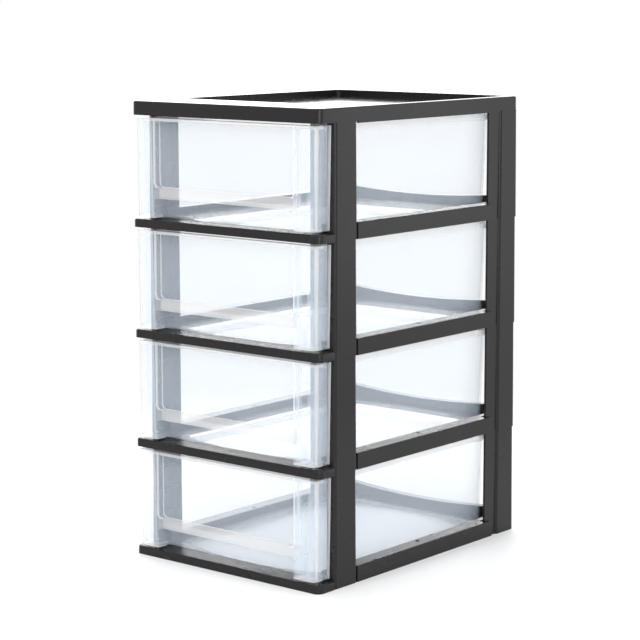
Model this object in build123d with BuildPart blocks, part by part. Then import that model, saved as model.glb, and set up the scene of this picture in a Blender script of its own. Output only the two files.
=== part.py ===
from build123d import *

import os

# Plastic drawer tower: four hazy drawers that slide in a dark, knock-down frame.
# Millimetres, +Z up, front towards -Y. The origin is on the floor under the middle of the tower.

# ---- driving dimensions -------------------------------------------------------------------
width = 260.0  # outside of the frame
depth = 350.0  # outside of the frame
tiers = 4
pitch = 120.0  # from one shelf frame to the next
wall = 2.5  # frame moulding
skin = 2.0  # drawer moulding
edge_break = 1.5  # upper edges of the frame

# shelf frames
nose_depth = 25.0  # front rail, ahead of the posts
nose_height = 9.0
nose_radius = 7.0
rail_height = 17.5  # side rails
ledge_width = 17.5  # flat top of a side rail
ledge_wall = 2.2
plate_low = 5.0  # underside of the inner plate
plate_top = 7.2
runner_top = 9.6  # the drawer slides on this
runner_width = 2.0
opening_half = 104.0  # straight sides of the opening in a shelf frame
opening_front = (-122.0, -146.0)  # front arc: at its ends, at the middle
opening_rear = (127.0, 158.0)  # rear arc: at its ends, at the middle
rear_rail_depth = 10.0
rear_rail_ends = 25.0  # height at the posts
rear_rail_middle = 18.0
peg_hole = 5.0

# posts
post_thick = 10.5
front_post_depth = 38.0
rear_post_depth = 35.0
rear_flange_depth = 18.5
post_draft = 0.7  # each side of its head stands back from its foot
post_radius = 4.0
spigot_down = 12.0
spigot_up = 20.0
spigot_wall = 2.0
post_ribs = (40.0, 65.0, 90.0)  # heights of the ribs inside a post
post_rib = 1.6

# top frame
top_height = 15.0
top_skirt = 2.5  # how far its sides come down between the posts
plateau_depth = 68.0
tray_depth = 7.0
tray_border = 8.0
tray_radius = 6.0
tray_ribs = (-60.0, 0.0, 60.0, 120.0)

# drawers
front_half_top = 125.5
front_half_bottom = 123.5
front_low = 11.5  # above the underside of its own tier
front_top = 117.5
front_return = 24.5  # side returns of the front, ahead of the posts
front_radius = 7.0
rim = 3.0  # top edge of the front
rim_depth = 11.0
window_half = 96.0
window_back = 9.0
window_low = 44.0
window_radius = 6.0
bar_back = 6.5  # handle bar under the window
bar_low = 31.5
grip_back = 20.0  # finger recess under the bar
tub_low = 9.8
tub_half_low = 111.0
tub_half_top = 114.5
tub_rear_low = 143.0
tub_rear_top = 147.0
tub_radius = 14.0
tub_edge = 2.5
lip_half = 118.0
lip_drop = 7.5
lip_thick = 1.6
lip_flange = 2.2
stop_half = 122.5
stop_start = 115.0
stop_length = 9.0

# ---- worked out ---------------------------------------------------------------------------
half_w = width / 2
half_d = depth / 2
front_y = -half_d
post_inner = half_w - post_thick
wall_inner = half_w - wall
ledge_inner = half_w - ledge_width
front_post_start = front_y + nose_depth
front_post_end = front_post_start + front_post_depth
rear_post_start = half_d - rear_post_depth
flange_start = rear_post_start - rear_flange_depth
rail_end = flange_start + 10.5
front_post_middle = (front_post_start + front_post_end) / 2
rear_post_middle = (rear_post_start + half_d) / 2
top_low = tiers * pitch
tray_floor = top_low + top_height - tray_depth
tray_front = front_y + plateau_depth
sides = {"left": -1, "right": 1}


def shelf_frame(base, stacked):
    """One moulded ring: front nose, side rails, curved rear rail, runners and four spigots."""
    with BuildPart() as ring:
        # front nose, an upturned trough with rounded corners
        with BuildSketch(Plane.XY.offset(base)) as nose:
            with Locations((0, front_y + nose_depth / 2)):
                Rectangle(width, nose_depth)
            fillet(nose.vertices().group_by(Axis.Y)[0], nose_radius)
        extrude(amount=nose_height)
        crown = ring.faces().sort_by(Axis.Z)[-1]
        chamfer(crown.edges().sort_by(Axis.Y)[:-1], edge_break)
        with BuildSketch(Plane.XY.offset(base)) as hollow:
            with Locations((0, front_y + nose_depth / 2)):
                Rectangle(width - 2 * wall, nose_depth - 2 * wall)
            fillet(hollow.vertices().group_by(Axis.Y)[0], nose_radius - wall)
        extrude(amount=nose_height - ledge_wall, mode=Mode.SUBTRACT)
        # inner plate round the opening
        plate_start = front_post_start - wall
        plate_end = half_d - rear_rail_depth + wall
        with BuildSketch(Plane.XY.offset(base + plate_low)):
            with Locations((0, (plate_start + plate_end) / 2)):
                Rectangle(2 * (ledge_inner + ledge_wall), plate_end - plate_start)
            with BuildLine():
                ThreePointArc(
                    (-opening_half, opening_rear[0]),
                    (0, opening_rear[1]),
                    (opening_half, opening_rear[0]),
                )
                Line((opening_half, opening_rear[0]), (opening_half, opening_front[0]))
                ThreePointArc(
                    (opening_half, opening_front[0]),
                    (0, opening_front[1]),
                    (-opening_half, opening_front[0]),
                )
                Line((-opening_half, opening_front[0]), (-opening_half, opening_rear[0]))
            make_face(mode=Mode.SUBTRACT)
        extrude(amount=plate_top - plate_low)
        # rear rail, lower in the middle than at the posts, open underneath
        with BuildSketch(Plane.XZ.offset(-half_d)):
            with BuildLine():
                Line((-post_inner, base), (post_inner, base))
                Line((post_inner, base), (post_inner, base + rear_rail_ends))
                ThreePointArc(
                    (post_inner, base + rear_rail_ends),
                    (0, base + rear_rail_middle),
                    (-post_inner, base + rear_rail_ends),
                )
                Line((-post_inner, base + rear_rail_ends), (-post_inner, base))
            make_face()
        extrude(amount=rear_rail_depth)
        with BuildSketch(Plane.XZ.offset(-half_d + wall)):
            with BuildLine():
                inside = post_inner - wall
                Line((-inside, base), (inside, base))
                Line((inside, base), (inside, base + rear_rail_ends - wall))
                ThreePointArc(
                    (inside, base + rear_rail_ends - wall),
                    (0, base + rear_rail_middle - wall),
                    (-inside, base + rear_rail_ends - wall),
                )
                Line((-inside, base + rear_rail_ends - wall), (-inside, base))
            make_face()
        extrude(amount=rear_rail_depth - 2 * wall, mode=Mode.SUBTRACT)
        for side in sides.values():
            # inner leg and the part of the ledge that passes the posts
            with BuildSketch(Plane.XZ.offset(-(half_d - rear_rail_depth))):
                with BuildLine():
                    Polyline(
                        (side * ledge_inner, base + plate_low),
                        (side * ledge_inner, base + rail_height),
                        (side * post_inner, base + rail_height),
                        (side * post_inner, base + rail_height - ledge_wall),
                        (side * (ledge_inner + ledge_wall), base + rail_height - ledge_wall),
                        (side * (ledge_inner + ledge_wall), base + plate_low),
                        close=True,
                    )
                make_face()
            extrude(amount=half_d - rear_rail_depth - front_post_start)
            # outer side rail between the posts
            with BuildSketch(Plane.XZ.offset(-(flange_start - 0.5))) as outer:
                with BuildLine():
                    Polyline(
                        (side * post_inner, base + rail_height),
                        (side * half_w, base + rail_height),
                        (side * half_w, base),
                        (side * wall_inner, base),
                        (side * wall_inner, base + rail_height - ledge_wall),
                        (side * post_inner, base + rail_height - ledge_wall),
                        close=True,
                    )
                make_face()
                crest = outer.vertices().group_by(Axis.Y)[-1].sort_by(Axis.X)
                fillet(crest[-1] if side > 0 else crest[0], 1.2)
            extrude(amount=flange_start - 0.5 - front_post_end)
            # the outer wall runs on past the rear post's flange
            with BuildSketch(Plane.YZ.offset(side * half_w)) as tail:
                with Locations(((flange_start - 1.5 + rail_end) / 2, base + rail_height / 2)):
                    Rectangle(rail_end - flange_start + 1.5, rail_height)
                fillet(tail.vertices().group_by(Axis.Y)[-1].sort_by(Axis.X)[-1], 4.0)
            extrude(amount=-side * wall)
            # runner that carries the drawer
            run_start = opening_front[1]
            run_end = opening_rear[1]
            with Locations((side * (opening_half + runner_width), (run_start + run_end) / 2, 0)):
                with Locations((0, 0, base + plate_low)):
                    Box(
                        runner_width,
                        run_end - run_start,
                        runner_top - plate_low,
                        align=(Align.CENTER, Align.CENTER, Align.MIN),
                    )
            # peg hole at the middle of the ledge
            with Locations((side * (post_inner - 1.5), 8.0, base + rail_height)):
                Hole(peg_hole / 2, depth=ledge_wall + 1)
            # spigots that plug the posts of this tier and of the tier below
            for middle, length in (
                (front_post_middle, front_post_depth),
                (rear_post_middle, rear_post_depth),
            ):
                spigot(base, side, middle, length - 2 * wall, spigot_up, spigot_down * stacked)
    return ring


def spigot(base, side, middle, length, up, down):
    """A hollow plug inside the channel of a post, with a web at the height of the joint."""
    outer = wall_inner - post_inner + 1
    centre = side * (wall_inner - outer / 2)
    low_align = (Align.CENTER, Align.CENTER, Align.MIN)
    with Locations((centre, middle, base - down)):
        Box(outer, length, up + down, align=low_align)
    with Locations((centre, middle, base + spigot_wall)):
        Box(outer - 2 * spigot_wall, length - 2 * spigot_wall, up, align=low_align, mode=Mode.SUBTRACT)
    if down:
        with Locations((centre, middle, base - down)):
            Box(outer - 2 * spigot_wall, length - 2 * spigot_wall, down, align=low_align, mode=Mode.SUBTRACT)


def drafted_block(low, high, across, along, rounded, radius):
    """A block between two heights whose walls lean with the draft of the mould.

    across and along hold its span at the lower and at the upper height. rounded is the axis at
    whose far end the two leaning edges are rounded, negated for its near end.
    """
    with BuildPart() as block:
        with BuildSketch(Plane.XZ):
            with BuildLine():
                Polyline(
                    (across[0][0], low),
                    (across[0][1], low),
                    (across[1][1], high),
                    (across[1][0], high),
                    close=True,
                )
            make_face()
        extrude(amount=depth, both=True)
        with BuildSketch(Plane.YZ):
            with BuildLine():
                Polyline(
                    (along[0][0], low),
                    (along[0][1], low),
                    (along[1][1], high),
                    (along[1][0], high),
                    close=True,
                )
            make_face()
        extrude(amount=width, both=True, mode=Mode.INTERSECT)
        if radius:
            leaning = block.edges().filter_by(lambda edge: edge.bounding_box().size.Z > (high - low) / 2)
            fillet(leaning.group_by(rounded)[-1], radius)
    return block


def post(base, side, start, length, flange):
    """A channel, open towards the drawers, one tier tall and with a little draft."""
    feet = sorted((side * post_inner, side * half_w))
    heads = sorted((side * post_inner, side * (half_w - post_draft)))
    outside = drafted_block(
        base,
        base + pitch,
        (feet, heads),
        ((start, start + length), (start + post_draft, start + length - post_draft)),
        Axis.X if side > 0 else -Axis.X,
        post_radius,
    )
    with BuildPart() as channel:
        add(outside.part)
        inner_span = wall_inner - post_inner + 1
        with Locations((side * (wall_inner - inner_span / 2), start + length / 2, base)):
            Box(
                inner_span,
                length - 2 * wall,
                pitch,
                align=(Align.CENTER, Align.CENTER, Align.MIN),
                mode=Mode.SUBTRACT,
            )
        for height in post_ribs:
            with Locations((side * (wall_inner - 3.0), start + length / 2, base + height)):
                Box(6.4, length - 2 * wall + 0.4, post_rib)
        if flange:
            # recessed flange behind the end of the side rail
            with Locations((side * (wall_inner - wall / 2), start - flange / 2 + 0.6, base)):
                Box(wall, flange + 1.2, pitch, align=(Align.CENTER, Align.CENTER, Align.MIN))
    return channel


def top_frame():
    """The lid: a raised front, a shallow tray behind it and spigots into the top posts."""
    top_z = top_low + top_height
    with BuildPart() as lid:
        with BuildSketch(Plane.XY.offset(top_low)) as outline:
            Rectangle(width, depth)
            fillet(outline.vertices(), nose_radius)
        extrude(amount=top_height)
        chamfer(lid.faces().sort_by(Axis.Z)[-1].edges(), edge_break)
        # tray
        tray_end = half_d - tray_border
        with BuildSketch(Plane.XY.offset(top_z)) as tray:
            with Locations((0, (tray_front + tray_end) / 2)):
                Rectangle(width - 2 * tray_border, tray_end - tray_front)
            fillet(tray.vertices(), tray_radius)
        extrude(amount=-tray_depth, mode=Mode.SUBTRACT)
        # hollow underside: below the tray, below the raised front and up inside the border
        with BuildSketch(Plane.XY.offset(top_low)) as under:
            Rectangle(width - 2 * wall, depth - 2 * wall)
            fillet(under.vertices(), nose_radius - wall)
        extrude(amount=tray_floor - wall - top_low, mode=Mode.SUBTRACT)
        with BuildSketch(Plane.XY.offset(tray_floor - wall)) as nose:
            with Locations((0, (front_y + wall + tray_front - wall) / 2)):
                Rectangle(width - 2 * wall, plateau_depth - 2 * wall)
            fillet(nose.vertices().group_by(Axis.Y)[0], nose_radius - wall)
        extrude(amount=tray_depth, mode=Mode.SUBTRACT)
        for y in tray_ribs:
            with Locations((0, y, tray_floor - wall)):
                Box(width - 2 * wall, 1.8, 3.4, align=(Align.CENTER, Align.CENTER, Align.MAX))
        for x in (-60.0, 0.0, 60.0):
            with Locations((x, front_y + plateau_depth / 2, top_z - wall)):
                Box(1.8, plateau_depth - wall, 6.0, align=(Align.CENTER, Align.CENTER, Align.MAX))
        for side in sides.values():
            with Locations((side * (half_w - wall / 2), (front_post_end + rear_post_start) / 2, top_low)):
                Box(
                    wall,
                    rear_post_start - front_post_end,
                    top_skirt + 1,
                    align=(Align.CENTER, Align.CENTER, Align.CENTER),
                )
            for middle, length in (
                (front_post_middle, front_post_depth),
                (rear_post_middle, rear_post_depth),
            ):
                spigot(top_low, side, middle, length - 2 * wall, tray_floor - wall - top_low, spigot_down)
    return lid


def drawer(base):
    """One moulded drawer: tub, lip with stops, and a front with pillars, window and finger grip."""
    low = base + front_low
    high = base + front_top
    back = front_y + front_return
    tub = drafted_block(
        base + tub_low,
        high,
        ((-tub_half_low, tub_half_low), (-tub_half_top, tub_half_top)),
        ((front_y + skin, tub_rear_low), (front_y + skin, tub_rear_top)),
        Axis.Y,
        tub_radius,
    )
    inside = drafted_block(
        base + tub_low + skin,
        high,
        ((skin - tub_half_low, tub_half_low - skin), (skin - tub_half_top, tub_half_top - skin)),
        ((back - skin, tub_rear_low - skin), (back - skin, tub_rear_top - skin)),
        Axis.Y,
        tub_radius - skin,
    )
    front = drafted_block(
        low,
        high,
        ((-front_half_bottom, front_half_bottom), (-front_half_top, front_half_top)),
        ((front_y, back), (front_y, back)),
        -Axis.Y,
        front_radius,
    )
    hollow = drafted_block(
        low + skin,
        high - rim,
        ((skin - front_half_bottom, front_half_bottom - skin), (skin - front_half_top, front_half_top - skin)),
        ((front_y + skin, back), (front_y + skin, back)),
        -Axis.Y,
        front_radius - skin,
    )
    cheeks = [
        drafted_block(
            low + 1,
            high - rim + 1,
            (
                sorted((side * (tub_half_low - skin), side * tub_half_low)),
                sorted((side * (tub_half_top - skin), side * tub_half_top)),
            ),
            ((front_y + 1, back), (front_y + 1, back)),
            Axis.Y,
            0,
        )
        for side in sides.values()
    ]
    with BuildPart() as tray:
        add(tub.part)
        floor_edges = tray.faces().sort_by(Axis.Z)[0].edges().sort_by(Axis.Y)[1:]
        chamfer(floor_edges, tub_edge)
        # front block, a little wider at the top, and what both leave inside
        add(front.part)
        add(inside.part, mode=Mode.SUBTRACT)
        add(hollow.part, mode=Mode.SUBTRACT)
        with Locations((0, (front_y + rim_depth + back) / 2, high - rim)):
            Box(
                2 * (front_half_top - skin),
                front_return - rim_depth,
                2 * rim,
                align=(Align.CENTER, Align.CENTER, Align.MIN),
                mode=Mode.SUBTRACT,
            )
        # the tub stops short below the front block
        with Locations((0, front_y, base)):
            Box(
                width,
                2 * (grip_back + skin),
                2 * front_low,
                mode=Mode.SUBTRACT,
            )
        # sides of the tub carried on to the front skin
        for cheek in cheeks:
            add(cheek.part)
        # handle zone and window zone, solid, then carved from the front and the back
        carved_half = window_half + skin
        with Locations((0, front_y, low)):
            Box(
                2 * carved_half,
                grip_back + skin,
                bar_low + skin - front_low,
                align=(Align.CENTER, Align.MIN, Align.MIN),
            )
        with Locations((0, front_y, base + bar_low)):
            Box(
                2 * carved_half,
                rim_depth,
                front_top - bar_low - 1,
                align=(Align.CENTER, Align.MIN, Align.MIN),
            )
        with BuildSketch(Plane.XZ.offset(half_d + 1)) as window:
            with Locations((0, base + (window_low + front_top - rim) / 2)):
                Rectangle(2 * window_half, front_top - rim - window_low)
            fillet(window.vertices().group_by(Axis.Y)[0], window_radius)
        extrude(amount=-(window_back + 1), mode=Mode.SUBTRACT)
        with Locations((0, front_y - 1, base + bar_low)):
            Box(
                2 * window_half,
                bar_back + 1,
                window_low - bar_low,
                align=(Align.CENTER, Align.MIN, Align.MIN),
                mode=Mode.SUBTRACT,
            )
        with Locations((0, front_y + bar_back + skin, base + bar_low + skin)):
            Box(
                2 * window_half,
                rim_depth,
                window_low - bar_low - 2 * skin,
                align=(Align.CENTER, Align.MIN, Align.MIN),
                mode=Mode.SUBTRACT,
            )
        with BuildSketch(Plane.YZ.offset(-window_half)) as grip:
            with Locations((front_y + (grip_back - 1) / 2, base + bar_low / 2)):
                Rectangle(grip_back + 1, bar_low)
            fillet(grip.vertices().group_by(Axis.X)[-1].sort_by(Axis.Y)[-1], 5.0)
        extrude(amount=2 * window_half, mode=Mode.SUBTRACT)
        # lip round the tub, with a turned-down edge
        lip_front = front_y + rim_depth - 1
        lip_rear = tub_rear_top + lip_half - tub_half_top
        for z, height, inner in (
            (high - lip_flange, lip_flange, tub_half_top - 1),
            (high - lip_drop, lip_drop, lip_half - lip_thick),
        ):
            start = lip_front if height == lip_flange else back
            inset = lip_half - inner
            with BuildSketch(Plane.XY.offset(z)):
                with BuildSketch(mode=Mode.PRIVATE) as outline:
                    with Locations((0, (start + lip_rear) / 2)):
                        Rectangle(2 * lip_half, lip_rear - start)
                    fillet(outline.vertices().group_by(Axis.Y)[-1], tub_radius + 3)
                with BuildSketch(mode=Mode.PRIVATE) as inline:
                    with Locations((0, (start - 1 + lip_rear - inset) / 2)):
                        Rectangle(2 * inner, lip_rear - inset - start + 1)
                    fillet(inline.vertices().group_by(Axis.Y)[-1], tub_radius + 3 - inset)
                add(outline.sketch)
                add(inline.sketch, mode=Mode.SUBTRACT)
            extrude(amount=height)
        # stops that meet the front posts when the drawer is out
        for side in sides.values():
            with Locations((side * (lip_half - 1), stop_start, high - lip_drop)):
                Box(
                    2 * (stop_half - lip_half + 1),
                    stop_length,
                    lip_drop - 1,
                    align=(Align.CENTER, Align.MIN, Align.MIN),
                )
    return tray


# ---- the pieces, each moulded once at floor level and then set at its tier -----------------
moulds = {
    "base_frame": shelf_frame(0, False),
    "shelf_frame": shelf_frame(0, True),
    "drawer": drawer(0),
}
for side_name, side in sides.items():
    moulds[f"front_{side_name}_post"] = post(0, side, front_post_start, front_post_depth, 0)
    moulds[f"rear_{side_name}_post"] = post(
        0, side, rear_post_start, rear_post_depth, rear_flange_depth
    )

os.makedirs("parts", exist_ok=True)
for mould_name, mould in moulds.items():
    for number in range(1, tiers + 1):
        # tiers are numbered from the top, and the lowest one stands on the base frame
        lowest = number == tiers
        if (mould_name == "base_frame") != lowest and "frame" in mould_name:
            continue
        with BuildPart() as piece:
            with Locations((0, 0, (tiers - number) * pitch)):
                add(mould.part)
        name = mould_name if mould_name == "base_frame" else f"{mould_name}_{number}"
        piece.part.label = name
        export_step(piece.part, f"parts/{name}.step")

lid = top_frame()
lid.part.label = "top_frame"
export_step(lid.part, "parts/top_frame.step")
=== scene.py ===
"""Looks of the plastic drawer tower: finishes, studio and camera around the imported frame."""

import logging
import math
from dataclasses import dataclass, field
from enum import Enum

import bpy
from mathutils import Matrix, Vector


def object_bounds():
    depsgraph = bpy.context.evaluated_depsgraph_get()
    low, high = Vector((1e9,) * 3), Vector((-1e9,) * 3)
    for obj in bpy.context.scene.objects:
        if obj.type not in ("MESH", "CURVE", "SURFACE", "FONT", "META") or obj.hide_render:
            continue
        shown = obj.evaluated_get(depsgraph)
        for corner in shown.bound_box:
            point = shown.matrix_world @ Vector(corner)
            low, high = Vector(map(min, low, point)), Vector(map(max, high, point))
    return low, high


Rgb = tuple[float, float, float]
Point = tuple[float, float, float]
Span = tuple[float, float]  # a lower and an upper limit
Source = bpy.types.NodeSocket | float | tuple  # a node's output, or a plain value

log = logging.getLogger("drawer_tower")
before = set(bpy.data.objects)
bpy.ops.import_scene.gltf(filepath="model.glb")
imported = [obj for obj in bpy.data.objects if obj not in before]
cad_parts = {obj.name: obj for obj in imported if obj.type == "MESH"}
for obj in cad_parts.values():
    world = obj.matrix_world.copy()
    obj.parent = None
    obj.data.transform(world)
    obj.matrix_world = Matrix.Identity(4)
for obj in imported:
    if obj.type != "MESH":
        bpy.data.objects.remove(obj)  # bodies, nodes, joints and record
cad_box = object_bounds()

MM = 0.001  # metres in a millimetre
TIERS = 4
PITCH = 0.120  # from one shelf frame to the next
SEE_THROUGH_WALLS = 48  # walls that one line of sight may cross before it stops


class Side(Enum):
    """Left and right of the tower, seen from the front."""

    LEFT = "left"
    RIGHT = "right"


class End(Enum):
    """Front and rear posts."""

    FRONT = "front"
    REAR = "rear"


class MixKind(Enum):
    """What a Mix node mixes: its data type, and the type of its sockets."""

    COLOUR = ("RGBA", "RGBA")
    VALUE = ("FLOAT", "VALUE")


# ---- node tree helpers -----------------------------------------------------------------------


@dataclass
class Tree:
    """A node tree with short ways to add and join nodes."""

    nodes: bpy.types.Nodes
    links: bpy.types.NodeLinks

    def add(self, kind: str, **settings: object) -> bpy.types.Node:
        """Adds a node.

        Args:
            kind: Blender's name for the node type.
            settings: Properties of the node to set.

        Returns:
            The new node.
        """
        node = self.nodes.new(kind)
        for name, value in settings.items():
            setattr(node, name, value)
        return node

    def put(self, source: Source, socket: bpy.types.NodeSocket) -> None:
        """Joins an output to a socket, or sets the socket to a plain value.

        Args:
            source: An output socket or a value.
            socket: The input that takes it.
        """
        if isinstance(source, bpy.types.NodeSocket):
            self.links.new(source, socket)
        else:
            socket.default_value = source

    def math(self, operation: str, *terms: Source) -> bpy.types.NodeSocket:
        """Adds a Math node.

        Args:
            operation: Its operation.
            terms: Its inputs in order.

        Returns:
            Its output.
        """
        node = self.add("ShaderNodeMath", operation=operation)
        for term, socket in zip(terms, node.inputs):
            self.put(term, socket)
        return node.outputs[0]

    def fold(self, operation: str, first: Source, *others: Source) -> bpy.types.NodeSocket:
        """Joins several values by one operation, two at a time.

        Args:
            operation: The Math node's operation.
            first: The first value.
            others: The values that follow it.

        Returns:
            The output of the last Math node.
        """
        result = first
        for other in others:
            result = self.math(operation, result, other)
        return result

    def span(self, value: bpy.types.NodeSocket, low: float, high: float, start: float,
             end: float) -> bpy.types.NodeSocket:
        """Maps a value from one span to another, with soft ends.

        Args:
            value: The value.
            low: Where the output is start.
            high: Where the output is end.
            start: Output at low.
            end: Output at high.

        Returns:
            The mapped value.
        """
        node = self.add("ShaderNodeMapRange", interpolation_type="SMOOTHSTEP")
        for name, part in (("Value", value), ("From Min", low), ("From Max", high), ("To Min", start),
                           ("To Max", end)):
            self.put(part, node.inputs[name])
        return node.outputs[0]

    def between(self, value: bpy.types.NodeSocket, low: float, high: float,
                soft: float) -> bpy.types.NodeSocket:
        """Marks where a value lies between two limits.

        Args:
            value: The value.
            low: The lower limit.
            high: The upper limit.
            soft: How far the mark fades at each limit.

        Returns:
            1 between the limits, 0 outside them.
        """
        return self.math("MULTIPLY", self.span(value, low - soft, low + soft, 0.0, 1.0),
                         self.span(value, high - soft, high + soft, 1.0, 0.0))

    def noise(self, place: bpy.types.NodeSocket, scale: Source, detail: float) -> bpy.types.NodeSocket:
        """Adds a noise texture.

        Args:
            place: Where it is read.
            scale: Its scale, per metre.
            detail: Its number of octaves.

        Returns:
            Its value.
        """
        node = self.add("ShaderNodeTexNoise")
        self.put(place, node.inputs["Vector"])
        self.put(scale, node.inputs["Scale"])
        self.put(detail, node.inputs["Detail"])
        return node.outputs["Fac"]

    def mix(self, kind: MixKind, share: Source, low: Source, high: Source) -> bpy.types.NodeSocket:
        """Mixes two colours or two values.

        Args:
            kind: What is mixed.
            share: 0 for the first, 1 for the second.
            low: The first.
            high: The second.

        Returns:
            The mixed colour or value.
        """
        data_type, socket_type = kind.value
        node = self.add("ShaderNodeMix", data_type=data_type)
        for name, wanted, part in (("Factor", "VALUE", share), ("A", socket_type, low),
                                   ("B", socket_type, high)):
            value = (*part, 1.0) if isinstance(part, tuple) else part
            self.put(value, next(s for s in node.inputs if s.name == name and s.type == wanted))
        return next(s for s in node.outputs if s.type == socket_type)

    def upward(self) -> bpy.types.NodeSocket:
        """Finds how far a face looks up.

        Returns:
            1 for a level face that looks up, 0 for an upright one.
        """
        parts = self.add("ShaderNodeSeparateXYZ")
        self.put(self.add("ShaderNodeNewGeometry").outputs["Normal"], parts.inputs[0])
        return parts.outputs["Z"]

    def bump(self, height: bpy.types.NodeSocket, strength: float, distance: float) -> bpy.types.NodeSocket:
        """Adds a Bump node.

        Args:
            height: The height that it reads.
            strength: Its strength.
            distance: The height of its relief in metres.

        Returns:
            The normal.
        """
        node = self.add("ShaderNodeBump")
        self.put(strength, node.inputs["Strength"])
        self.put(distance, node.inputs["Distance"])
        self.put(height, node.inputs["Height"])
        return node.outputs[0]


def new_group(name: str, inputs: dict[str, float], outputs: tuple[str, ...]) -> tuple[
        bpy.types.NodeTree, Tree, bpy.types.Node, bpy.types.Node]:
    """Makes an empty shader node group with float sockets.

    Args:
        name: The group's name.
        inputs: Its inputs and their values.
        outputs: Its outputs.

    Returns:
        The group, its tree, its input node and its output node.
    """
    group = bpy.data.node_groups.new(name, "ShaderNodeTree")
    for label, value in inputs.items():
        socket = group.interface.new_socket(label, in_out="INPUT", socket_type="NodeSocketFloat")
        socket.default_value = value
    for label in outputs:
        group.interface.new_socket(label, in_out="OUTPUT", socket_type="NodeSocketFloat")
    tree = Tree(group.nodes, group.links)
    return group, tree, tree.add("NodeGroupInput"), tree.add("NodeGroupOutput")


@dataclass(frozen=True)
class MouldGrain:
    """The fine grain of the mould, and the faint flow marks of the plastic."""

    name: str = "mould_grain"
    grain_scale: float = 2600.0
    grain_detail: float = 2.0
    flow_scale: float = 14.0
    flow_detail: float = 4.0

    def build(self) -> bpy.types.NodeTree:
        """Builds the group.

        Returns:
            A group with the inputs Grain Scale and Flow Scale, and the outputs Grain and Flow.
        """
        group, tree, given, out = new_group(
            self.name, {"Grain Scale": self.grain_scale, "Flow Scale": self.flow_scale},
            ("Grain", "Flow"))
        place = tree.add("ShaderNodeTexCoord").outputs["Object"]
        for label, detail in (("Grain", self.grain_detail), ("Flow", self.flow_detail)):
            tree.put(tree.noise(place, given.outputs[f"{label} Scale"], detail), out.inputs[label])
        return group


@dataclass(frozen=True)
class HandlingWear:
    """Faint rub marks, and dust that settles on faces that look up.

    Streaks, patches and specks are noises, each given by its scale and its detail.
    """

    name: str = "handling_wear"
    stretch: Point = (1.0, 0.25, 1.6)
    streaks: tuple[float, float] = (160.0, 5.0)
    streaks_shown: Span = (0.58, 0.72)
    patches: tuple[float, float] = (22.0, 3.0)
    patches_shown: Span = (0.48, 0.62)
    specks: tuple[float, float] = (900.0, 2.0)
    specks_shown: Span = (0.55, 0.75)
    dust_between: float = 0.2  # dust where no speck lies
    settles: Span = (0.6, 0.98)  # how far a face has to look up

    def build(self) -> bpy.types.NodeTree:
        """Builds the group.

        Returns:
            A group with the input Amount and the outputs Rub and Dust.
        """
        group, tree, given, out = new_group(self.name, {"Amount": 1.0}, ("Rub", "Dust"))
        place = tree.add("ShaderNodeTexCoord").outputs["Object"]
        mapping = tree.add("ShaderNodeMapping")
        tree.put(place, mapping.inputs["Vector"])
        tree.put(self.stretch, mapping.inputs["Scale"])
        streaks = tree.noise(mapping.outputs["Vector"], *self.streaks)
        patches = tree.noise(place, *self.patches)
        rub = tree.fold("MULTIPLY", tree.span(streaks, *self.streaks_shown, 0.0, 1.0),
                        tree.span(patches, *self.patches_shown, 0.0, 1.0), given.outputs["Amount"])
        tree.put(rub, out.inputs["Rub"])
        specks = tree.span(tree.noise(place, *self.specks), *self.specks_shown, self.dust_between, 1.0)
        dust = tree.fold("MULTIPLY", tree.span(tree.upward(), *self.settles, 0.0, 1.0), specks,
                         given.outputs["Amount"])
        tree.put(dust, out.inputs["Dust"])
        return group


@dataclass(frozen=True)
class TierPlace:
    """Where a point lies in its own tier, so that one finish suits all drawers."""

    name: str = "tier_place"

    def build(self) -> bpy.types.NodeTree:
        """Builds the group.

        Returns:
            A group with the outputs Height above the tier's underside, Side as the distance from
            the middle plane, and Depth along Y.
        """
        group, tree, _, out = new_group(self.name, {}, ("Height", "Side", "Depth"))
        parts = tree.add("ShaderNodeSeparateXYZ")
        tree.put(tree.add("ShaderNodeTexCoord").outputs["Object"], parts.inputs[0])
        tree.put(tree.math("FLOORED_MODULO", parts.outputs["Z"], PITCH), out.inputs["Height"])
        tree.put(tree.math("ABSOLUTE", parts.outputs["X"]), out.inputs["Side"])
        tree.put(parts.outputs["Y"], out.inputs["Depth"])
        return group


@dataclass
class Effects:
    """The shared node groups, each built once."""

    grain: bpy.types.NodeTree = field(default_factory=lambda: MouldGrain().build())
    wear: bpy.types.NodeTree = field(default_factory=lambda: HandlingWear().build())
    place: bpy.types.NodeTree = field(default_factory=lambda: TierPlace().build())


def use_group(tree: Tree, group: bpy.types.NodeTree, **values: float) -> bpy.types.Node:
    """Places a shared group in a material.

    Args:
        tree: The material's tree.
        group: The group.
        values: Its inputs, with _ for a space in their names.

    Returns:
        The group node.
    """
    node = tree.add("ShaderNodeGroup")
    node.node_tree = group
    for name, value in values.items():
        node.inputs[name.replace("_", " ")].default_value = value
    return node


def blank_material(name: str) -> tuple[bpy.types.Material, Tree, bpy.types.Node]:
    """Makes a material with one Principled shader.

    Args:
        name: Its name.

    Returns:
        The material, its tree and its shader.
    """
    material = bpy.data.materials.new(name)
    material.use_nodes = True
    tree = Tree(material.node_tree.nodes, material.node_tree.links)
    tree.nodes.clear()
    shader = tree.add("ShaderNodeBsdfPrincipled")
    tree.put(shader.outputs[0], tree.add("ShaderNodeOutputMaterial").inputs["Surface"])
    return material, tree, shader


# ---- finishes --------------------------------------------------------------------------------


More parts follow.
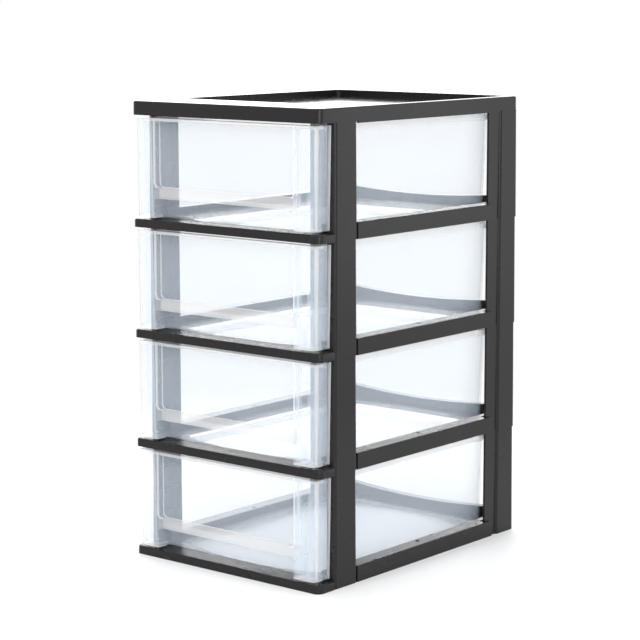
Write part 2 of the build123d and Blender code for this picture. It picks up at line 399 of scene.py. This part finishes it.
@dataclass(frozen=True)
class CharcoalPlastic:
    """Dark moulded polypropylene with a fine satin grain."""

    effects: Effects
    name: str = "charcoal_plastic"
    colour: Rgb = (0.0108, 0.0094, 0.0104)
    worn: Rgb = (0.0165, 0.0150, 0.0155)
    worn_share: float = 0.35
    dust: Rgb = (0.055, 0.052, 0.049)
    dust_share: float = 0.4
    handling: float = 0.35
    smooth: float = 0.22  # roughness between the flow marks
    rough: float = 0.32  # roughness on them
    rubbed: float = 0.06  # roughness that a rub mark adds
    sheen_level: float = 0.24
    polish: float = 0.0  # how far the faces that look up are polished
    polished: float = 0.08  # their roughness then
    looks_up: Span = (0.80, 0.97)
    grain_strength: float = 0.25
    grain_height: float = 0.03 * MM

    def build(self) -> bpy.types.Material:
        """Builds the material.

        Returns:
            The material.
        """
        material, tree, shader = blank_material(self.name)
        grain = use_group(tree, self.effects.grain)
        wear = use_group(tree, self.effects.wear, Amount=self.handling)
        flow = grain.outputs["Flow"]
        body = tree.mix(MixKind.COLOUR, tree.math("MULTIPLY", flow, self.worn_share),
                        self.colour, self.worn)
        dusty = tree.math("MULTIPLY", wear.outputs["Dust"], self.dust_share)
        tree.put(tree.mix(MixKind.COLOUR, dusty, body, self.dust), shader.inputs["Base Color"])
        satin = tree.fold("ADD", tree.math("MULTIPLY", flow, self.rough - self.smooth), self.smooth,
                          tree.math("MULTIPLY", wear.outputs["Rub"], self.rubbed))
        level = tree.span(tree.upward(), *self.looks_up, 0.0, 1.0)
        shine = tree.mix(MixKind.VALUE, tree.math("MULTIPLY", level, self.polish), satin, self.polished)
        tree.put(shine, shader.inputs["Roughness"])
        tree.put(tree.bump(grain.outputs["Grain"], self.grain_strength, self.grain_height),
                 shader.inputs["Normal"])
        shader.inputs["Specular IOR Level"].default_value = self.sheen_level
        return material


@dataclass(frozen=True)
class DrawerZones:
    """Where a drawer's bar, and its walls that are seen along their length and get painted edge lines, lie
    in its own tier.

    Heights are above the tier's underside, sides are distances from the middle plane, and depths
    are along Y.
    """

    soft: float = 0.3 * MM  # how far each mark fades
    bar: Span = (31.5 * MM, 44.0 * MM)
    bar_half: float = 96.0 * MM
    front_end: Span = (-163.0 * MM, -161.0 * MM)
    window_turn: tuple[float, float] = (90.0 * MM, 50.0 * MM)  # side and height, middle of its corner
    window_wall: Span = (5.5 * MM, 7.6 * MM)  # out from that middle
    window_front: Span = (-176.0 * MM, -173.2 * MM)
    window_rear: Span = (-167.6 * MM, -165.4 * MM)
    window_line: float = 1.7  # painted edge line at its front and rear edges
    window_fill: float = 0.2  # painted haze between them
    corner: Span = (122.3 * MM, 127.0 * MM)
    corner_depth: Span = (-173.5 * MM, -169.5 * MM)
    rim: Span = (114.2 * MM, 119.0 * MM)
    sole: Span = (10.0 * MM, 13.8 * MM)
    return_side: float = 118.5 * MM
    return_edge: Span = (-152.3 * MM, -149.7 * MM)
    lip: Span = (109.0 * MM, 119.0 * MM)
    lip_side: Span = (115.4 * MM, 116.0 * MM)
    lip_start: Span = (-151.0 * MM, -149.0 * MM)

    def bar_mark(self, tree: Tree, place: bpy.types.Node) -> bpy.types.NodeSocket:
        """Marks the handle bar.

        Args:
            tree: The material's tree.
            place: The TierPlace group in it.

        Returns:
            1 on the bar, 0 elsewhere.
        """
        return tree.fold(
            "MULTIPLY", tree.between(place.outputs["Height"], *self.bar, self.soft),
            tree.span(place.outputs["Side"], self.bar_half, self.bar_half + 2 * self.soft, 1.0, 0.0),
            tree.span(place.outputs["Depth"], *self.front_end, 1.0, 0.0))

    def window_painted_lines(self, tree: Tree, place: bpy.types.Node) -> bpy.types.NodeSocket:
        """Marks the wall of the sunk window, a rectangle with rounded lower corners, for painted edge
        lines.

        Args:
            tree: The material's tree.
            place: The TierPlace group in it.

        Returns:
            window_line on the wall's front and rear edges, window_fill between them, 0 elsewhere.
        """
        depth = place.outputs["Depth"]
        turn_side, turn_height = self.window_turn
        across = tree.math("MAXIMUM", tree.math("SUBTRACT", place.outputs["Side"], turn_side), 0.0)
        down = tree.math("MAXIMUM", tree.math("SUBTRACT", turn_height, place.outputs["Height"]), 0.0)
        squares = tree.math("ADD", tree.math("MULTIPLY", across, across),
                            tree.math("MULTIPLY", down, down))
        wall = tree.between(tree.math("POWER", squares, 0.5), *self.window_wall, self.soft)
        edges = tree.math("MAXIMUM", tree.between(depth, *self.window_front, self.soft),
                          tree.between(depth, *self.window_rear, self.soft))
        lines = tree.math("MULTIPLY", edges, self.window_line)
        return tree.math("MULTIPLY", wall, tree.math("MAXIMUM", lines, self.window_fill))

    def painted_line_mark(self, tree: Tree, place: bpy.types.Node) -> bpy.types.NodeSocket:
        """Marks where the eye looks along a wall instead of through it, for painted edge lines: denser
        grey haze that stands in for light bent along the wall.

        Args:
            tree: The material's tree.
            place: The TierPlace group in it.

        Returns:
            1 on such walls, more on the window's edges, 0 elsewhere.
        """
        height, side, depth = (place.outputs[name] for name in ("Height", "Side", "Depth"))
        corner = tree.math("MULTIPLY", tree.between(side, *self.corner, self.soft),
                           tree.between(depth, *self.corner_depth, self.soft))
        front = tree.math("MULTIPLY", tree.span(depth, *self.front_end, 1.0, 0.0), tree.fold(
            "MAXIMUM", self.window_painted_lines(tree, place), corner,
            tree.between(height, *self.rim, self.soft), tree.between(height, *self.sole, self.soft)))
        outside = tree.span(side, self.return_side - self.soft, self.return_side + self.soft, 0.0, 1.0)
        return_edge = tree.math("MULTIPLY", tree.between(depth, *self.return_edge, self.soft), outside)
        lip = tree.fold("MULTIPLY", tree.between(height, *self.lip, self.soft),
                        tree.span(side, *self.lip_side, 0.0, 1.0),
                        tree.span(depth, *self.lip_start, 0.0, 1.0))
        return tree.fold("MAXIMUM", front, return_edge, lip)


@dataclass(frozen=True)
class HazyPlastic:
    """Natural polypropylene: see-through with a milky haze, frosted on the handle bar, with painted edge
    lines where walls are seen along their length.
    """

    effects: Effects
    zones: DrawerZones = DrawerZones()
    name: str = "hazy_plastic"
    clear: Rgb = (0.800, 0.890, 0.990)
    milky: Rgb = (0.755, 0.755, 0.758)  # on the bar
    grazing_and_painted_line_grey: Rgb = (0.780, 0.790, 0.800)  # grey of faces seen edge on, and of the painted edge lines where the eye looks along a wall
    haze: float = 0.120
    frosted: float = 0.32  # haze of the bar
    painted_line_haze: float = 0.24  # haze of the painted edge lines, where a wall is seen along its length
    facing_blend: float = 0.25
    edge_haze: float = 0.60  # haze that a face seen edge on adds
    edge_power: float = 3.0
    flow_haze: float = 0.02
    rub_haze: float = 0.01
    smooth: float = 0.16  # roughness
    bar_rough: float = 0.35
    flow_rough: float = 0.06
    handling: float = 0.5
    grain_scale: float = 1800.0
    flow_scale: float = 9.0
    grain_strength: float = 0.15
    grain_height: float = 0.02 * MM

    def build(self) -> bpy.types.Material:
        """Builds the material.

        Returns:
            The material.
        """
        material, tree, shader = blank_material(self.name)
        grain = use_group(tree, self.effects.grain, Grain_Scale=self.grain_scale,
                          Flow_Scale=self.flow_scale)
        wear = use_group(tree, self.effects.wear, Amount=self.handling)
        place = use_group(tree, self.effects.place)
        flow = grain.outputs["Flow"]
        bar = self.zones.bar_mark(tree, place)
        # painted edge lines: denser grey haze on walls seen along their length, kept off the bar
        painted_lines = tree.math("MULTIPLY", self.zones.painted_line_mark(tree, place),
                          tree.math("SUBTRACT", 1.0, bar))
        facing = tree.add("ShaderNodeLayerWeight")
        facing.inputs["Blend"].default_value = self.facing_blend
        slant = tree.math("POWER", facing.outputs["Facing"], self.edge_power)
        haze = tree.fold("ADD", tree.math("MULTIPLY", slant, self.edge_haze),
                         tree.math("MULTIPLY", flow, self.flow_haze), self.haze,
                         tree.math("MULTIPLY", bar, self.frosted - self.haze),
                         tree.math("MULTIPLY", painted_lines, self.painted_line_haze),
                         tree.math("MULTIPLY", wear.outputs["Rub"], self.rub_haze))
        tree.put(tree.math("MINIMUM", haze, 1.0), shader.inputs["Alpha"])
        body = tree.mix(MixKind.COLOUR, bar, self.clear, self.milky)
        # faces seen edge on, and the painted edge lines, turn grey
        tree.put(tree.mix(MixKind.COLOUR, tree.math("MAXIMUM", painted_lines, slant), body, self.grazing_and_painted_line_grey),
                 shader.inputs["Base Color"])
        tree.put(tree.fold("ADD", tree.math("MULTIPLY", bar, self.bar_rough), self.smooth,
                           tree.math("MULTIPLY", flow, self.flow_rough)), shader.inputs["Roughness"])
        tree.put(tree.bump(tree.math("MULTIPLY", grain.outputs["Grain"], bar), self.grain_strength,
                           self.grain_height), shader.inputs["Normal"])
        return material


# ---- the tower's own pieces ------------------------------------------------------------------


@dataclass(frozen=True)
class CurvedShading:
    """Shades curved faces and broken edges smooth and keeps sharp corners, as live modifiers."""

    sharp: float = math.radians(50.0)
    weld: float = 0.002 * MM
    area_weight: int = 100  # the larger faces rule the normals fully

    def by_angle(self) -> bpy.types.NodeTree:
        """Builds the step that shades smooth all but the sharp corners.

        Returns:
            A geometry node group.
        """
        group = bpy.data.node_groups.new("smooth_by_angle", "GeometryNodeTree")
        for way in ("INPUT", "OUTPUT"):
            group.interface.new_socket("Geometry", in_out=way, socket_type="NodeSocketGeometry")
        tree = Tree(group.nodes, group.links)
        faces = tree.add("GeometryNodeSetShadeSmooth", domain="FACE")
        corners = tree.add("GeometryNodeSetShadeSmooth", domain="EDGE")
        corners.inputs["Shade Smooth"].default_value = False
        turn = tree.add("GeometryNodeInputMeshEdgeAngle").outputs["Unsigned Angle"]
        tree.put(tree.math("GREATER_THAN", turn, self.sharp), corners.inputs["Selection"])
        tree.put(tree.add("NodeGroupInput").outputs[0], faces.inputs["Geometry"])
        tree.put(faces.outputs[0], corners.inputs["Geometry"])
        tree.put(corners.outputs[0], tree.add("NodeGroupOutput").inputs[0])
        return group

    def add_to(self, names: list[str]) -> None:
        """Adds the modifiers to some nodes.

        Args:
            names: The nodes.
        """
        by_angle = self.by_angle()
        for name in names:
            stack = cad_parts[name].modifiers
            stack.new("join", "WELD").merge_threshold = self.weld
            stack.new("smooth", "NODES").node_group = by_angle
            level = stack.new("level", "WEIGHTED_NORMAL")
            level.mode = "FACE_AREA"
            level.weight = self.area_weight
            level.keep_sharp = True


@dataclass
class MouldedPieces:
    """CAD nodes that share a finish."""

    names: list[str]
    finish: bpy.types.Material

    def dress(self) -> None:
        """Gives each node the finish."""
        for name in self.names:
            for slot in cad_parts[name].material_slots:
                slot.material = self.finish
            log.info("%s wears %s", name, self.finish.name)


@dataclass
class FrameAssembly:
    """Top frame, shelf frames, base frame and posts."""

    effects: Effects
    lid: str = "top_frame"
    lid_grain_height: float = 0.008 * MM

    def names(self) -> list[str]:
        """Lists the frame's nodes below its lid.

        Returns:
            Their names.
        """
        rings = ["base_frame"] + [f"shelf_frame_{n}" for n in range(1, TIERS)]
        posts = [f"{end.value}_{side.value}_post_{n}" for end in End for side in Side
                 for n in range(1, TIERS + 1)]
        return rings + posts

    def build(self) -> None:
        """Dresses the frame: satin rails and posts, and a polished lid."""
        MouldedPieces(self.names(), CharcoalPlastic(self.effects).build()).dress()
        polished = CharcoalPlastic(self.effects, "polished_charcoal", polish=1.0,
                                   grain_height=self.lid_grain_height)
        MouldedPieces([self.lid], polished.build()).dress()
        CurvedShading().add_to([self.lid, *self.names()])


@dataclass
class DrawerSet:
    """The four drawers."""

    effects: Effects

    def build(self) -> None:
        """Dresses the drawers."""
        names = [f"drawer_{n}" for n in range(1, TIERS + 1)]
        MouldedPieces(names, HazyPlastic(self.effects).build()).dress()
        CurvedShading().add_to(names)


# ---- studio ----------------------------------------------------------------------------------


@dataclass(frozen=True)
class SoftLamp:
    """A soft box, given by its width and height, that looks at the middle of the tower."""

    name: str
    place: Point
    sides: tuple[float, float]
    power: float
    colour: Rgb = (1.0, 1.0, 1.0)

    def build(self, target: Vector) -> None:
        """Builds the lamp.

        Args:
            target: The point that it looks at.
        """
        data = bpy.data.lights.new(self.name, "AREA")
        data.shape = "RECTANGLE"
        data.size, data.size_y = self.sides
        data.energy = self.power
        data.color = self.colour
        lamp = bpy.data.objects.new(self.name, data)
        bpy.context.collection.objects.link(lamp)
        lamp.location = self.place
        lamp.rotation_euler = (target - Vector(self.place)).to_track_quat("-Z", "Y").to_euler()


@dataclass
class Studio:
    """Pale floor, white surroundings and soft lamps."""

    floor_half: float = 12.0
    floor_colour: Rgb = (0.88, 0.88, 0.88)
    floor_bright: Rgb = (0.90, 0.90, 0.90)
    floor_rough: float = 0.6
    shade_scale: float = 3.0
    shade_detail: float = 2.0
    whitens: Span = (0.45, 0.95)  # how far from the middle of the floor
    lamps: tuple[SoftLamp, ...] = (
        SoftLamp("key", (0.3, -2.0, 2.2), (1.4, 1.0), 23.0),
        SoftLamp("corner_box", (1.9, -1.1, 0.8), (0.7, 1.4), 18.0),
        SoftLamp("side_box", (1.5, 1.7, 0.5), (0.4, 1.2), 2.4),
        SoftLamp("rear", (-1.3, 1.7, 0.9), (2.6, 1.2), 24.0),
    )

    def seen(self, tree: Tree) -> bpy.types.NodeSocket:
        """Finds the rays that show a surface, straight, mirrored or through glass.

        Args:
            tree: The tree that asks.

        Returns:
            1 for such a ray, 0 for the rest.
        """
        path = tree.add("ShaderNodeLightPath")
        rays = (path.outputs[f"Is {kind} Ray"] for kind in ("Camera", "Glossy", "Transmission"))
        return tree.fold("MAXIMUM", *rays)

    def floor(self) -> None:
        """Builds the floor."""
        bpy.ops.object.select_all(action="DESELECT")
        bpy.ops.mesh.primitive_plane_add(size=2 * self.floor_half, location=(0.0, 0.0, 0.0))
        floor = bpy.context.active_object
        floor.name = "studio_floor"
        material, tree, shader = blank_material("pale_floor")
        place = tree.add("ShaderNodeTexCoord").outputs["Object"]
        shade = tree.noise(place, self.shade_scale, self.shade_detail)
        tree.put(tree.mix(MixKind.COLOUR, shade, self.floor_colour, self.floor_bright),
                 shader.inputs["Base Color"])
        shader.inputs["Roughness"].default_value = self.floor_rough
        # past the object's shadow the floor turns into the white backdrop
        apart = tree.add("ShaderNodeVectorMath", operation="LENGTH")
        tree.put(place, apart.inputs[0])
        far = tree.span(apart.outputs["Value"], *self.whitens, 0.0, 1.0)
        white = tree.add("ShaderNodeEmission")
        blend = tree.add("ShaderNodeMixShader")
        tree.put(tree.math("MULTIPLY", far, self.seen(tree)), blend.inputs["Fac"])
        tree.put(shader.outputs[0], blend.inputs[1])
        tree.put(white.outputs[0], blend.inputs[2])
        out = next(node for node in tree.nodes if node.type == "OUTPUT_MATERIAL")
        tree.put(blend.outputs[0], out.inputs["Surface"])
        floor.data.materials.append(material)

    def surroundings(self) -> None:
        """Builds the white surroundings, which also give a plain soft light."""
        world = bpy.data.worlds.new("white_studio")
        world.use_nodes = True
        bpy.context.scene.world = world
        tree = Tree(world.node_tree.nodes, world.node_tree.links)
        tree.nodes.clear()
        background = tree.add("ShaderNodeBackground")
        background.inputs["Strength"].default_value = 1.0
        background.inputs["Color"].default_value = (1.0, 1.0, 1.0, 1.0)
        tree.put(background.outputs[0], tree.add("ShaderNodeOutputWorld").inputs["Surface"])

    def build(self) -> None:
        """Builds floor, surroundings and lamps."""
        self.floor()
        self.surroundings()
        low, high = (Vector(corner) for corner in cad_box)
        for lamp in self.lamps:
            lamp.build((low + high) / 2)
            log.info("lamp %s", lamp.name)


@dataclass(frozen=True)
class PhotoCamera:
    """The camera at the photograph's viewing angle, with its angles in degrees."""

    place: Point = (1.4415, -1.7684, 0.6075)
    azimuth: float = 39.433
    down: float = 8.023
    lens: float = 117.414
    sensor: float = 36.0
    shift_y: float = -0.05

    def build(self) -> None:
        """Builds the camera and makes it the scene's own."""
        data = bpy.data.cameras.new("photo_camera")
        data.sensor_width = self.sensor
        data.lens = self.lens
        data.shift_y = self.shift_y
        camera = bpy.data.objects.new("photo_camera", data)
        bpy.context.collection.objects.link(camera)
        camera.location = self.place
        camera.rotation_euler = (math.radians(90.0 - self.down), 0.0, math.radians(self.azimuth))
        bpy.context.scene.camera = camera


def main() -> None:
    """Builds the finishes, the pieces and the studio."""
    logging.basicConfig(level=logging.INFO, format="%(name)s: %(message)s")
    bpy.context.scene.view_settings.view_transform = "Standard"
    bpy.context.scene.cycles.transparent_max_bounces = SEE_THROUGH_WALLS
    effects = Effects()
    FrameAssembly(effects).build()
    DrawerSet(effects).build()
    Studio().build()
    PhotoCamera().build()


if __name__ == "__main__":
    main()
